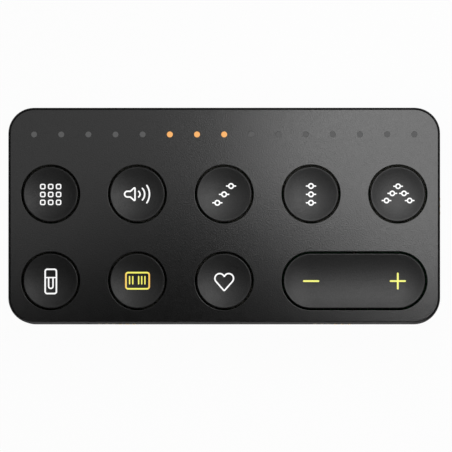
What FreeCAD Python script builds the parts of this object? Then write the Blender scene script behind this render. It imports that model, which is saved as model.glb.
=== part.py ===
import FreeCAD, Part
import os

# A flat desk controller: eight round push keys, one long rocker key and a row of fifteen indicator lights
# in the top of a low box. Two contact docks stand in each long side and one in each end, where a second
# box of the same pitch snaps on.
# Sizes are millimetres and degrees. X runs along the rows of keys, Y from the front to the back, Z up.
# The origin is on the desk under the middle of the box.

# Key field and outline
KEY_PITCH = 18.9
KEY_COLUMNS = 5
APERTURE_RADIUS = 6.4
SIDE_LAND = 2.8
FRONT_LAND = 2.9
INDICATOR_RISE = 13.0
BACK_MARGIN = 5.8
CORNER_RADIUS = 5.6
HEIGHT = 20.0

# Casing
WALL = 2.0
PLATE = 2.0
FLOOR = 1.6
TOP_EDGE = 0.4
BASE_EDGE = 1.2
LIP = 1.0
TONGUE_HEIGHT = 1.8
HOOK_REACH = 0.4
HOOK_LENGTH = 4.0
RIB = 1.0
RIB_CLEARANCE = 0.2
FLOOR_RIB_HEIGHT = 2.4
PILLAR_SIDE = 3.0
PAD_INSET = 3.2
PAD_THICKNESS = 1.2
PAD_SEAT = 0.4
FIT = 0.05

# Keys
KEY_GAP = 0.45
KEY_UNDERHANG = 1.2
DISH_DEPTH = 0.4
KEY_TRAVEL = 0.6
FLANGE_SIDE = 12.2
FLANGE_CORNER = 1.2
GUIDE_LENGTH = 6.0
GUIDE_THICKNESS = 0.8
GUIDE_DEPTH = 2.0
DIFFUSER_SIDE = 7.0
DIFFUSER_THICKNESS = 1.2
PIVOT_RADIUS = 0.5
PIVOT_DROP = 0.65
PIVOT_END_ROOM = 0.25
PIVOT_CLEARANCE = 0.05
SADDLE_CHEEK = 1.0
SADDLE_THICKNESS = 1.1

# Silicone domes, square in plan, and the lights of the keys
DOME_HEIGHT = 3.0
DOME_FLANGE_SIDE = 8.4
DOME_FLANGE = 0.5
DOME_SKIRT_SIDE = 7.2
DOME_PAD_SIDE = 5.4
DOME_PAD = 1.0
DOME_WEB = 0.4
DOME_RING_WALL = 0.6
KEY_LED_SIDE = 2.0
KEY_LED_HEIGHT = 0.7
KEY_LED_ROOM = 0.4

# Indicator row, whose light pips have eight flat sides
INDICATOR_COUNT = 15
INDICATOR_INSET = 5.6
INDICATOR_RADIUS = 0.65
INDICATOR_SIDES = 8
INDICATOR_LED_LENGTH = 1.6
INDICATOR_LED_WIDTH = 0.8
INDICATOR_LED_HEIGHT = 0.6
LIGHT_BAR_WIDTH = 3.0
LIGHT_BAR_END = 1.6
LIGHT_MASK_HEIGHT = 1.6
LIGHT_MASK_WALL = 0.8

# Board and the screws that hold it to the top cover
BOARD_THICKNESS = 1.6
BOARD_MARGIN = 0.5
SCREW_RADIUS = 1.0
SCREW_BITE = 3.0
SCREW_END_ROOM = 0.4
SCREW_HEAD_RADIUS = 1.9
SCREW_HEAD_HEIGHT = 1.3
SCREW_CLEARANCE = 0.2
BOSS_SIDE = 4.4

# Docks
DOCK_FROM_END = 23.5
DOCK_WINDOW_HEIGHT = 4.0
DOCK_WINDOW_CORNER = 0.8
DOCK_COVER = 0.2
DOCK_RECESS = 0.25
DOCK_FLANGE_EXTRA = 1.2
DOCK_FLANGE_DEPTH = 3.0
DOCK_FLANGE_DROP = 0.4
MAGNET_GAP = 0.55
MAGNET_END_WALL = 0.7
MAGNET_WIDTH = 4.6
MAGNET_HEIGHT = 2.6
MAGNET_DEPTH = 3.0
CONTACT_COUNT = 3
CONTACT_PITCH = 1.5
CONTACT_WIDTH = 0.8
CONTACT_HEIGHT = 2.0
BLADE_PROUD = 0.1
BLADE_DEPTH = 3.2
BLADE_TRAVEL = 0.4

# Chips under the board: middle in X and Y, then length, depth and height
CHIPS = {
    "controller_chip": (0.0, 4.7, 7.0, 7.0, 1.0),
    "memory_chip": (-17.0, 4.7, 5.0, 4.0, 0.8),
    "power_chip": (17.0, 7.0, 3.0, 3.0, 0.9),
    "power_inductor": (17.0, 1.5, 4.0, 4.0, 1.8),
    "clock_crystal": (7.5, 8.0, 3.2, 2.5, 0.7),
}

# Outline and places that follow from the sizes above
LENGTH = (KEY_COLUMNS - 1) * KEY_PITCH + 2 * (APERTURE_RADIUS + SIDE_LAND)
DEPTH = APERTURE_RADIUS + FRONT_LAND + KEY_PITCH + INDICATOR_RISE + BACK_MARGIN
FRONT_ROW_Y = -DEPTH / 2 + FRONT_LAND + APERTURE_RADIUS
BACK_ROW_Y = FRONT_ROW_Y + KEY_PITCH
INDICATOR_Y = BACK_ROW_Y + INDICATOR_RISE
INDICATOR_PITCH = (LENGTH - 2 * INDICATOR_INSET) / (INDICATOR_COUNT - 1)
INDICATOR_X = [-LENGTH / 2 + INDICATOR_INSET + n * INDICATOR_PITCH for n in range(INDICATOR_COUNT)]
COLUMN_X = [(column - (KEY_COLUMNS - 1) / 2) * KEY_PITCH for column in range(KEY_COLUMNS)]
GAP_X = [(left + right) / 2 for left, right in zip(COLUMN_X, COLUMN_X[1:])]
MIDDLE_GAP_Y = (FRONT_ROW_Y + BACK_ROW_Y) / 2
LIGHT_WALL_Y = INDICATOR_Y - LIGHT_BAR_WIDTH / 2 - FIT - RIB
BACK_GAP_Y = (BACK_ROW_Y + APERTURE_RADIUS + GUIDE_THICKNESS + LIGHT_WALL_Y) / 2
# Room for the rocker key's pins past its hole: in front up to the wall, behind up to the screw boss
PIN_ROOM_FRONT = FRONT_LAND - WALL
PIN_ROOM_BACK = MIDDLE_GAP_Y - BOSS_SIDE / 2 - FRONT_ROW_Y - APERTURE_RADIUS
PIVOT_REACH = min(PIN_ROOM_FRONT, PIN_ROOM_BACK) - PIVOT_END_ROOM

# Levels, from the top of the box down to the desk
PLATE_UNDERSIDE = HEIGHT - PLATE
PIVOT_Z = PLATE_UNDERSIDE - PIVOT_DROP
KEY_BOTTOM = PLATE_UNDERSIDE - KEY_UNDERHANG
BOARD_TOP = KEY_BOTTOM - DOME_HEIGHT
BOARD_BOTTOM = BOARD_TOP - BOARD_THICKNESS
SEAM = BOARD_BOTTOM - DOCK_COVER - DOCK_WINDOW_HEIGHT
DOCK_Z = SEAM + DOCK_WINDOW_HEIGHT / 2
UNDERSIDE = PAD_THICKNESS - PAD_SEAT
FLOOR_TOP = UNDERSIDE + FLOOR
FLANGE_TOP = PLATE_UNDERSIDE - FIT

KEY_RADIUS = APERTURE_RADIUS - KEY_GAP
DISH_SPHERE = (KEY_RADIUS**2 + DISH_DEPTH**2) / (2 * DISH_DEPTH)
DISH_CENTRE = HEIGHT - DISH_DEPTH + DISH_SPHERE
ROCKER_LEFT = COLUMN_X[-2]
ROCKER_RIGHT = COLUMN_X[-1]
ROCKER_X = GAP_X[-1]

ROUND_KEYS = {
    "grid": (COLUMN_X[0], BACK_ROW_Y),
    "speaker": (COLUMN_X[1], BACK_ROW_Y),
    "rising_notes": (COLUMN_X[2], BACK_ROW_Y),
    "stacked_notes": (COLUMN_X[3], BACK_ROW_Y),
    "peaked_notes": (COLUMN_X[4], BACK_ROW_Y),
    "pedal": (COLUMN_X[0], FRONT_ROW_Y),
    "keyboard": (COLUMN_X[1], FRONT_ROW_Y),
    "heart": (COLUMN_X[2], FRONT_ROW_Y),
}
ROCKER_ENDS = {"minus": (ROCKER_LEFT, FRONT_ROW_Y), "plus": (ROCKER_RIGHT, FRONT_ROW_Y)}
KEY_PLACES = {**ROUND_KEYS, **ROCKER_ENDS}
SCREW_PLACES = [(GAP_X[0], MIDDLE_GAP_Y), (GAP_X[-1], MIDDLE_GAP_Y)]
PILLAR_PLACES = [(x, MIDDLE_GAP_Y) for x in GAP_X[1:-1]] + [(x, BACK_GAP_Y) for x in (GAP_X[0], GAP_X[-1])]

# Each dock's middle on the outer face, by a name that starts with its side
DOCK_X = LENGTH / 2 - DOCK_FROM_END
DOCKS = {
    "front_left": (-DOCK_X, -DEPTH / 2),
    "front_right": (DOCK_X, -DEPTH / 2),
    "right": (LENGTH / 2, 0),
    "back_right": (DOCK_X, DEPTH / 2),
    "back_left": (-DOCK_X, DEPTH / 2),
    "left": (-LENGTH / 2, 0),
}
# The turn about the vertical, in degrees, from facing the front to facing out of a side
SIDE_TURN = {"front": 0, "right": 90, "back": 180, "left": 270}

# Fixed pads fill one half of a dock's row and sprung blades the other, so that like docks mate.
# A magnet stands beyond each end of the row, and the window takes them all.
BLADE_X = [(n + 0.5) * CONTACT_PITCH for n in range(CONTACT_COUNT)]
PAD_X = [-x for x in BLADE_X]
MAGNET_X = BLADE_X[-1] + CONTACT_WIDTH / 2 + MAGNET_GAP + MAGNET_WIDTH / 2
DOCK_WINDOW_WIDTH = 2 * (MAGNET_X + MAGNET_WIDTH / 2 + MAGNET_END_WALL)

# Lengths below this count as nothing when edges are picked
TINY = 1e-5

UP = FreeCAD.Vector(0, 0, 1)
ALONG = FreeCAD.Vector(1, 0, 0)
BACKWARDS = FreeCAD.Vector(0, 1, 0)
ORIGIN = FreeCAD.Vector(0, 0, 0)


def block(x, y, bottom, length, depth, height):
    """Upright box with its middle at x, y."""
    return Part.makeBox(length, depth, height, FreeCAD.Vector(x - length / 2, y - depth / 2, bottom))


def span(left, right, front, back, bottom, top):
    """Box given by its six faces."""
    return Part.makeBox(right - left, back - front, top - bottom, FreeCAD.Vector(left, front, bottom))


def pillar(x, y, side, bottom, top):
    """Square pillar between the board and the plate above it or the floor below."""
    return block(x, y, bottom, side, side, top - bottom)


def drum(x, y, bottom, top, radius):
    """Upright cylinder."""
    return Part.makeCylinder(radius, top - bottom, FreeCAD.Vector(x, y, bottom))


def prism(x, y, bottom, top, radius):
    """Upright prism with a light pip's flat sides, whose corners lie at radius."""
    start = FreeCAD.Vector(x + radius, y, bottom)
    corners = []
    for side in range(INDICATOR_SIDES + 1):
        corner = Part.Vertex(start)
        corner.rotate(FreeCAD.Vector(x, y, 0), UP, 360 * side / INDICATOR_SIDES)
        corners.append(corner.Point)
    return Part.Face(Part.makePolygon(corners)).extrude(UP * (top - bottom))


def frustum(x, y, bottom, bottom_side, top, top_side):
    """Square block whose flat sides draw in from the bottom to the top."""
    low = bottom_side / 2
    high = top_side / 2
    wedge = Part.makeWedge(-low, 0, -low, -high, -high, low, top - bottom, low, high, high)
    wedge.rotate(ORIGIN, ALONG, 90)
    wedge.translate(FreeCAD.Vector(x, y, bottom))
    return wedge


def edges_at(shape, level):
    """Edges that lie flat at one height."""
    return [e for e in shape.Edges if max(abs(e.BoundBox.ZMin - level), abs(e.BoundBox.ZMax - level)) < TINY]


def upright_edges(shape):
    """Edges of a block that run from its bottom to its top."""
    return [e for e in shape.Edges if e.BoundBox.ZLength > TINY]


def rounded_block(inset, bottom, top):
    """The box's outline, moved in by inset, as a block with round corners."""
    shape = block(0, 0, bottom, LENGTH - 2 * inset, DEPTH - 2 * inset, top - bottom)
    return shape.makeFillet(CORNER_RADIUS - inset, upright_edges(shape))


def long_slot(radius, bottom, top):
    """Block with half-round ends that spans the two columns of the rocker key."""
    middle = span(ROCKER_LEFT, ROCKER_RIGHT, FRONT_ROW_Y - radius, FRONT_ROW_Y + radius, bottom, top)
    ends = [drum(x, y, bottom, top, radius) for x, y in ROCKER_ENDS.values()]
    return middle.fuse(ends).removeSplitter()


def at_docks(make):
    """What make() gives for a dock that faces the front, once at each dock, by the dock's name."""
    placed = {}
    for name, (x, y) in DOCKS.items():
        shape = make()
        shape.rotate(ORIGIN, UP, SIDE_TURN[name.split("_")[0]])
        shape.translate(FreeCAD.Vector(x, y, 0))
        placed[name] = shape
    return placed


def dock_window(clearance=0):
    """Cutter for the notch in a wall, open at the seam, or with a clearance the nose that fills it."""
    width = DOCK_WINDOW_WIDTH - 2 * clearance
    height = DOCK_WINDOW_HEIGHT - 2 * clearance
    notch = span(-width / 2, width / 2, -WALL, 2 * WALL, SEAM + clearance, SEAM + clearance + height)
    corners = [e for e in edges_at(notch, SEAM + clearance + height) if e.BoundBox.YLength > WALL]
    return notch.makeChamfer(DOCK_WINDOW_CORNER, corners)


def magnet_blocks(clearance=0):
    """The two magnets of a dock, or with a clearance the pockets that hold them."""
    width = MAGNET_WIDTH + 2 * clearance
    height = MAGNET_HEIGHT + 2 * clearance
    back = DOCK_RECESS + MAGNET_DEPTH + clearance
    return [
        span(x - width / 2, x + width / 2, DOCK_RECESS, back, DOCK_Z - height / 2, DOCK_Z + height / 2)
        for x in (-MAGNET_X, MAGNET_X)
    ]


def contacts(places, front, back, clearance):
    """One upright contact strip at each place of a dock's row, or with a clearance the slots for them."""
    half = CONTACT_WIDTH / 2 + clearance
    low = DOCK_Z - CONTACT_HEIGHT / 2 - clearance
    high = DOCK_Z + CONTACT_HEIGHT / 2 + clearance
    return [span(x - half, x + half, front, back, low, high) for x in places]


def magnets():
    """The two magnets of a dock as one shape."""
    return Part.makeCompound(magnet_blocks())


def pads():
    """Fixed contact pads on the insert's face, flush with the outer face of the wall."""
    return Part.makeCompound(contacts(PAD_X, 0, DOCK_RECESS, 0))


def blades():
    """Sprung contact blades, which stand a little out of the wall and slide in."""
    return Part.makeCompound(contacts(BLADE_X, -BLADE_PROUD, BLADE_DEPTH, 0))


def dock_insert():
    """Moulded insert that fills a window, hangs behind the wall and holds the magnets, pads and blades."""
    half = DOCK_WINDOW_WIDTH / 2 + DOCK_FLANGE_EXTRA
    inside = WALL + FIT
    flange = span(-half, half, inside, inside + DOCK_FLANGE_DEPTH, SEAM - DOCK_FLANGE_DROP, BOARD_BOTTOM)
    nose = dock_window(FIT).common(span(-half, half, DOCK_RECESS, inside, SEAM, BOARD_BOTTOM))
    slots = contacts(BLADE_X, 0, BLADE_DEPTH + BLADE_TRAVEL + FIT, FIT)
    return nose.fuse(flange).removeSplitter().cut(magnet_blocks(FIT) + slots)


def seam_strips(clearance, top):
    """Straight strips on the inner half of the wall, between the docks and the corners."""
    outer = block(0, 0, SEAM, LENGTH - 2 * (LIP - clearance), DEPTH - 2 * (LIP - clearance), top - SEAM)
    strips = outer.cut(block(0, 0, SEAM, LENGTH - 2 * WALL, DEPTH - 2 * WALL, top - SEAM))
    gap = DOCK_WINDOW_WIDTH + 2 * DOCK_FLANGE_EXTRA - 2 * clearance
    gaps = list(at_docks(lambda: block(0, WALL / 2, SEAM, gap, 2 * WALL, top - SEAM)).values())
    corner = 2 * (CORNER_RADIUS - clearance)
    for x in (-LENGTH / 2, LENGTH / 2):
        for y in (-DEPTH / 2, DEPTH / 2):
            gaps.append(block(x, y, SEAM, corner, corner, top - SEAM))
    return strips.cut(gaps)


def snap_hooks(clearance):
    """Wedges on the outer face of the tongue, or with a clearance the pockets that catch them."""
    face_x = LENGTH / 2 - LIP - FIT
    face_y = DEPTH / 2 - LIP - FIT
    end_y = (DOCK_WINDOW_WIDTH / 2 + DOCK_FLANGE_EXTRA + DEPTH / 2 - CORNER_RADIUS) / 2
    places = [(0, -face_y, "front"), (0, face_y, "back")]
    places += [(face_x, y, "right") for y in (-end_y, end_y)]
    places += [(-face_x, y, "left") for y in (-end_y, end_y)]
    half = HOOK_LENGTH / 2 + clearance
    out = -HOOK_REACH - clearance
    low = SEAM + TONGUE_HEIGHT - 2 * HOOK_REACH - clearance
    top = SEAM + TONGUE_HEIGHT + clearance
    outline = [(out, low), (0, top), (HOOK_REACH, top), (HOOK_REACH, low), (out, low)]
    hooks = []
    for x, y, side in places:
        wire = Part.makePolygon([FreeCAD.Vector(-half, across, level) for across, level in outline])
        hook = Part.Face(wire).extrude(ALONG * 2 * half)
        hook.rotate(ORIGIN, UP, SIDE_TURN[side])
        hook.translate(FreeCAD.Vector(x, y, 0))
        hooks.append(hook)
    return hooks


def light_bar_walls():
    """Two long ribs that hold the light bar and its mask from the front and the back."""
    end = LENGTH / 2 - WALL
    low = BOARD_TOP + RIB_CLEARANCE
    back = INDICATOR_Y + LIGHT_BAR_WIDTH / 2 + FIT
    return [span(-end, end, y, y + RIB, low, PLATE_UNDERSIDE) for y in (LIGHT_WALL_Y, back)]


def cell_ribs():
    """Ribs between the keys, which stiffen the plate and keep each key's light in its own cell."""
    low = BOARD_TOP + RIB_CLEARANCE
    front = -DEPTH / 2 + WALL
    end = LENGTH / 2 - WALL
    half = RIB / 2
    fronts = {x: front for x in GAP_X}
    fronts[ROCKER_X] = MIDDLE_GAP_Y
    ribs = [span(x - half, x + half, fronts[x], LIGHT_WALL_Y, low, PLATE_UNDERSIDE) for x in GAP_X]
    ribs.append(span(-end, end, MIDDLE_GAP_Y - half, MIDDLE_GAP_Y + half, low, PLATE_UNDERSIDE))
    return ribs


def flange_guides():
    """One rib behind each round key, along a flat side of its flange, which keeps the key from turning."""
    middle = FLANGE_SIDE / 2 + FIT + GUIDE_THICKNESS / 2
    low = PLATE_UNDERSIDE - GUIDE_DEPTH
    keys = ROUND_KEYS.values()
    return [block(x, y + middle, low, GUIDE_LENGTH, GUIDE_THICKNESS, GUIDE_DEPTH) for x, y in keys]


def pivot(radius, reach):
    """Level cylinder on the rocker key's pivot line."""
    start = FreeCAD.Vector(ROCKER_X, FRONT_ROW_Y - reach, PIVOT_Z)
    return Part.makeCylinder(radius, 2 * reach, start, BACKWARDS)


def rocker_saddles():
    """Cheeks under the plate with a round-topped notch, open below, for the rocker key's two pivots."""
    notch_radius = PIVOT_RADIUS + PIVOT_CLEARANCE
    half = notch_radius + SADDLE_CHEEK
    low = PIVOT_Z - notch_radius
    reach = APERTURE_RADIUS + SADDLE_THICKNESS
    way_in = block(ROCKER_X, FRONT_ROW_Y, low, 2 * notch_radius, 2 * reach, PIVOT_Z - low)
    notch = pivot(notch_radius, reach).fuse(way_in).removeSplitter()
    cheeks = []
    for side in (-1, 1):
        middle = FRONT_ROW_Y + side * (APERTURE_RADIUS + SADDLE_THICKNESS / 2)
        cheek = block(ROCKER_X, middle, low, 2 * half, SADDLE_THICKNESS, PLATE_UNDERSIDE - low)
        cheeks.append(cheek.cut(notch))
    return cheeks


def top_cover():
    """Upper shell: plate with the key and light holes, walls, ribs, bosses and saddles in one moulding."""
    shell = rounded_block(0, SEAM, HEIGHT)
    shell = shell.makeChamfer(TOP_EDGE, edges_at(shell, HEIGHT))
    shell = shell.cut(rounded_block(WALL, SEAM, PLATE_UNDERSIDE))
    supports = [pillar(x, y, BOSS_SIDE, BOARD_TOP, PLATE_UNDERSIDE) for x, y in SCREW_PLACES]
    supports += [pillar(x, y, PILLAR_SIDE, BOARD_TOP, PLATE_UNDERSIDE) for x, y in PILLAR_PLACES]
    shell = shell.fuse(light_bar_walls() + cell_ribs() + supports + flange_guides() + rocker_saddles())
    holes = [drum(x, y, PLATE_UNDERSIDE, HEIGHT, APERTURE_RADIUS) for x, y in ROUND_KEYS.values()]
    holes.append(long_slot(APERTURE_RADIUS, PLATE_UNDERSIDE, HEIGHT))
    holes += [prism(x, INDICATOR_Y, PLATE_UNDERSIDE, HEIGHT, INDICATOR_RADIUS + FIT) for x in INDICATOR_X]
    pilot_top = BOARD_TOP + SCREW_BITE + SCREW_END_ROOM
    holes += [drum(x, y, BOARD_TOP, pilot_top, SCREW_RADIUS + FIT) for x, y in SCREW_PLACES]
    holes.append(seam_strips(FIT, SEAM + TONGUE_HEIGHT + RIB_CLEARANCE))
    holes += snap_hooks(FIT)
    holes += list(at_docks(dock_window).values())
    return shell.cut(holes).removeSplitter()


def floor_ribs():
    """Low ribs on the floor of the base, through its pillars."""
    top = FLOOR_TOP + FLOOR_RIB_HEIGHT
    end_x = LENGTH / 2 - WALL
    end_y = DEPTH / 2 - WALL
    half = RIB / 2
    along = [span(-end_x, end_x, y - half, y + half, FLOOR_TOP, top) for y in (MIDDLE_GAP_Y, BACK_GAP_Y)]
    across = [span(x - half, x + half, -end_y, end_y, FLOOR_TOP, top) for x in (GAP_X[0], 0, GAP_X[-1])]
    return along + across


def base_tray():
    """Lower shell: floor, walls, tongue with snap hooks, ribs and the pillars that press on the board."""
    tray = rounded_block(0, UNDERSIDE, SEAM)
    tray = tray.makeChamfer(BASE_EDGE, edges_at(tray, UNDERSIDE))
    tray = tray.cut([rounded_block(WALL, FLOOR_TOP, SEAM), base_pad(FIT)])
    pillars = [pillar(x, y, PILLAR_SIDE, FLOOR_TOP, BOARD_BOTTOM) for x, y in PILLAR_PLACES]
    tongue = seam_strips(-FIT, SEAM + TONGUE_HEIGHT)
    return tray.fuse([tongue] + snap_hooks(0) + floor_ribs() + pillars).removeSplitter()


def base_pad(clearance=0):
    """Rubber pad bonded in the underside, or with a clearance the seat for it."""
    return rounded_block(PAD_INSET - clearance, 0, PAD_THICKNESS)


def board_screws():
    """Two screws from below the board into the top cover's bosses."""
    screws = []
    for x, y in SCREW_PLACES:
        head = drum(x, y, BOARD_BOTTOM - SCREW_HEAD_HEIGHT, BOARD_BOTTOM, SCREW_HEAD_RADIUS)
        shank = drum(x, y, BOARD_BOTTOM, BOARD_TOP + SCREW_BITE, SCREW_RADIUS)
        screws.append(head.fuse(shank).removeSplitter())
    return Part.makeCompound(screws)


def main_board():
    """Circuit board, with clearance holes for the screws."""
    inset = WALL + BOARD_MARGIN
    board = block(0, 0, BOARD_BOTTOM, LENGTH - 2 * inset, DEPTH - 2 * inset, BOARD_THICKNESS)
    board = board.makeChamfer(CORNER_RADIUS - inset, upright_edges(board))
    hole = SCREW_RADIUS + SCREW_CLEARANCE
    return board.cut([drum(x, y, BOARD_BOTTOM, BOARD_TOP, hole) for x, y in SCREW_PLACES])


def chip(x, y, length, depth, height):
    """Component under the board."""
    return block(x, y, BOARD_BOTTOM - height, length, depth, height)


def key_leds():
    """One light on the board under each key and each end of the rocker key."""
    side = KEY_LED_SIDE
    leds = [block(x, y, BOARD_TOP, side, side, KEY_LED_HEIGHT) for x, y in KEY_PLACES.values()]
    return Part.makeCompound(leds)


def indicator_blocks(length, width, height):
    """One block on the board under each indicator hole."""
    return [block(x, INDICATOR_Y, BOARD_TOP, length, width, height) for x in INDICATOR_X]


def indicator_leds():
    """The row of fifteen small lights on the board."""
    leds = indicator_blocks(INDICATOR_LED_LENGTH, INDICATOR_LED_WIDTH, INDICATOR_LED_HEIGHT)
    return Part.makeCompound(leds)


def light_bar_length():
    """Length that the light bar and its mask share."""
    return INDICATOR_X[-1] - INDICATOR_X[0] + 2 * LIGHT_BAR_END


def indicator_light_guide():
    """Clear bar under the plate, with a pip in each indicator hole."""
    bottom = BOARD_TOP + LIGHT_MASK_HEIGHT
    bar = block(0, INDICATOR_Y, bottom, light_bar_length(), LIGHT_BAR_WIDTH, PLATE_UNDERSIDE - bottom)
    return bar.fuse([prism(x, INDICATOR_Y, PLATE_UNDERSIDE, HEIGHT, INDICATOR_RADIUS) for x in INDICATOR_X])


def indicator_light_mask():
    """Black strip between board and light guide, with a window over each small light."""
    strip = block(0, INDICATOR_Y, BOARD_TOP, light_bar_length(), LIGHT_BAR_WIDTH, LIGHT_MASK_HEIGHT)
    window = min(INDICATOR_PITCH, 2 * LIGHT_BAR_END) - LIGHT_MASK_WALL
    return strip.cut(indicator_blocks(window, LIGHT_BAR_WIDTH - 2 * LIGHT_MASK_WALL, LIGHT_MASK_HEIGHT))


def dished(blank, balls):
    """Blank cut down to a finger dish, the track of a ball that rolls from the first place to the last."""
    cutters = [Part.makeSphere(DISH_SPHERE, FreeCAD.Vector(x, y, DISH_CENTRE), ALONG) for x, y in balls]
    if len(balls) > 1:
        start = FreeCAD.Vector(*balls[0], DISH_CENTRE)
        cutters.append(Part.makeCylinder(DISH_SPHERE, balls[-1][0] - balls[0][0], start, ALONG))
    for cutter in cutters:
        blank = blank.cut(cutter)
    return blank.removeSplitter()


def diffuser(x, y, clearance):
    """Milky square that spreads the light under a symbol, or with a clearance the pocket for it."""
    side = DIFFUSER_SIDE + 2 * clearance
    return block(x, y, KEY_BOTTOM, side, side, DIFFUSER_THICKNESS + clearance)


def round_key(x, y):
    """Round key: dished cap on a square flange, whose corners catch under the plate."""
    cap = dished(drum(x, y, FLANGE_TOP, HEIGHT + DISH_DEPTH, KEY_RADIUS), [(x, y)])
    flange = block(x, y, KEY_BOTTOM, FLANGE_SIDE, FLANGE_SIDE, FLANGE_TOP - KEY_BOTTOM)
    flange = flange.makeChamfer(FLANGE_CORNER, upright_edges(flange))
    return cap.fuse(flange).removeSplitter().cut(diffuser(x, y, FIT))


def rocker_key():
    """Long rocker key: dished along its length, with a pivot pin on each side of its middle."""
    cap = dished(long_slot(KEY_RADIUS, KEY_BOTTOM, HEIGHT + DISH_DEPTH), list(ROCKER_ENDS.values()))
    cap = cap.fuse(pivot(PIVOT_RADIUS, APERTURE_RADIUS + PIVOT_REACH)).removeSplitter()
    return cap.cut([diffuser(x, y, FIT) for x, y in ROCKER_ENDS.values()])


def dome(x, y):
    """Silicone dome that carries a key and springs it back: flange, thin skirt, pad and contact ring."""
    top = BOARD_TOP + DOME_HEIGHT
    pad_bottom = top - DOME_PAD
    flange_top = BOARD_TOP + DOME_FLANGE
    flange = block(x, y, BOARD_TOP, DOME_FLANGE_SIDE, DOME_FLANGE_SIDE, DOME_FLANGE)
    skirt = frustum(x, y, flange_top, DOME_SKIRT_SIDE, pad_bottom, DOME_PAD_SIDE)
    pad = block(x, y, pad_bottom, DOME_PAD_SIDE, DOME_PAD_SIDE, DOME_PAD)
    inner_skirt = DOME_SKIRT_SIDE - 2 * DOME_WEB
    hollow = frustum(x, y, BOARD_TOP, inner_skirt, pad_bottom, DOME_PAD_SIDE - 2 * DOME_WEB)
    light_way = KEY_LED_SIDE + 2 * KEY_LED_ROOM
    ring_side = light_way + 2 * DOME_RING_WALL
    ring_bottom = BOARD_TOP + KEY_TRAVEL + FIT
    ring = block(x, y, ring_bottom, ring_side, ring_side, pad_bottom - ring_bottom)
    shape = flange.fuse([skirt, pad]).cut(hollow).fuse(ring).removeSplitter()
    return shape.cut(block(x, y, BOARD_TOP, light_way, light_way, DOME_HEIGHT))


def all_parts():
    """Every piece by its name."""
    parts = {
        "top_cover": top_cover(),
        "base_tray": base_tray(),
        "base_pad": base_pad(),
        "board_screws": board_screws(),
        "main_board": main_board(),
        "key_leds": key_leds(),
        "indicator_leds": indicator_leds(),
        "indicator_light_guide": indicator_light_guide(),
        "indicator_light_mask": indicator_light_mask(),
        "key_rocker": rocker_key(),
        "dock_magnets": Part.makeCompound(list(at_docks(magnets).values())),
        "dock_pads": Part.makeCompound(list(at_docks(pads).values())),
    }
    for name, sizes in CHIPS.items():
        parts[name] = chip(*sizes)
    for name, place in ROUND_KEYS.items():
        parts["key_" + name] = round_key(*place)
    for name, place in KEY_PLACES.items():
        parts["diffuser_" + name] = diffuser(*place, 0)
        parts["dome_" + name] = dome(*place)
    for name, insert in at_docks(dock_insert).items():
        parts["dock_insert_" + name] = insert
    for name, row in at_docks(blades).items():
        parts["dock_blades_" + name] = row
    return parts


os.makedirs("parts", exist_ok=True)
for part_name, part_shape in all_parts().items():
    part_shape.exportStep("parts/" + part_name + ".step")
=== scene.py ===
from math import acos, atan2, copysign, cos, degrees, hypot, pi, radians, sin, sqrt

import bmesh
import bpy
from mathutils import Matrix, Vector


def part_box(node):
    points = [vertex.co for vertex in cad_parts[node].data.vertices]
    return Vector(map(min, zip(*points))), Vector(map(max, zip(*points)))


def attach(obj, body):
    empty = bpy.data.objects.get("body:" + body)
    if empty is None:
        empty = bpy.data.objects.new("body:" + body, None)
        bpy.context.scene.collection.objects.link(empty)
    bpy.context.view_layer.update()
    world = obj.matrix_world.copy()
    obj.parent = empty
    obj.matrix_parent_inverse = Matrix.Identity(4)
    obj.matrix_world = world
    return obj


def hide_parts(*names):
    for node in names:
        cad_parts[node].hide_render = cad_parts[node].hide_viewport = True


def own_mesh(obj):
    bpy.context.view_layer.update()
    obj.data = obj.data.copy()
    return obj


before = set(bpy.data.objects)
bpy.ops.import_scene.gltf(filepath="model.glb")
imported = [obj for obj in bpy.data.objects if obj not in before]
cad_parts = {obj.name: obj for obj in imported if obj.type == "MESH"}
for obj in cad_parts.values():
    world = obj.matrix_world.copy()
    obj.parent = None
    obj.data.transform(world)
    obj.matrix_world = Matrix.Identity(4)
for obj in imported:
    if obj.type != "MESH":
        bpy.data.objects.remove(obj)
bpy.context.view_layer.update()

# Looks of the button controller: its mouldings, dished caps, lit signs, silicone, board and docks.
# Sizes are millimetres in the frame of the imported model. A mesh is scaled to metres when it is finished.

MM = 0.001

# Outline and levels of the casing
HALF_LENGTH = 47.0
HALF_DEPTH = 23.5
CORNER_RADIUS = 5.6
TOP = 20.0
PLATE_UNDERSIDE = 18.0
EDGE_START = 19.6
SEAM = 8.0
CHAMFER_TOP = 2.0
UNDERSIDE = 0.8
BASE_CHAMFER = CHAMFER_TOP - UNDERSIDE
HOLE_RADIUS = 6.4
HOLE_ROUND = 0.11
LIGHT_HOLE_RADIUS = 0.65
LIGHT_HOLE_ROUND = 0.02
SEAM_BEVEL = 0.12

# Profile of the casing's top edge from its wall to its top: how far in and how far down. The flat part
# between two small rounds is a chamfer.
TOP_EDGE = ((0.0, 0.38), (0.010, 0.33), (0.045, 0.265), (0.375, 0.045), (0.43, 0.018), (0.51, 0.0))

# Caps
CAP_RADIUS = 5.95
CAP_ROUND = 0.18
DISH_RADIUS = 15.35
DISH_START = 5.70
CAP_FLANGE_TOP = 17.95
SKIRT_LEVEL = 18.5
CAP_BOTTOM = 16.8
FLANGE_SIDE = 12.2
POCKET_SIDE = 7.1
POCKET_TOP = 18.05
FLANGE_CORNER = 1.2
PIN_RADIUS = 0.5
PIN_REACH = 7.0
PIN_Z = 17.35
MOULD_EASE = 0.08

# Signs stand this much above the dish and this deep in it
SIGN_PROUD = 0.02
SIGN_DEPTH = 0.06
SIGN_LINE = 0.33

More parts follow.
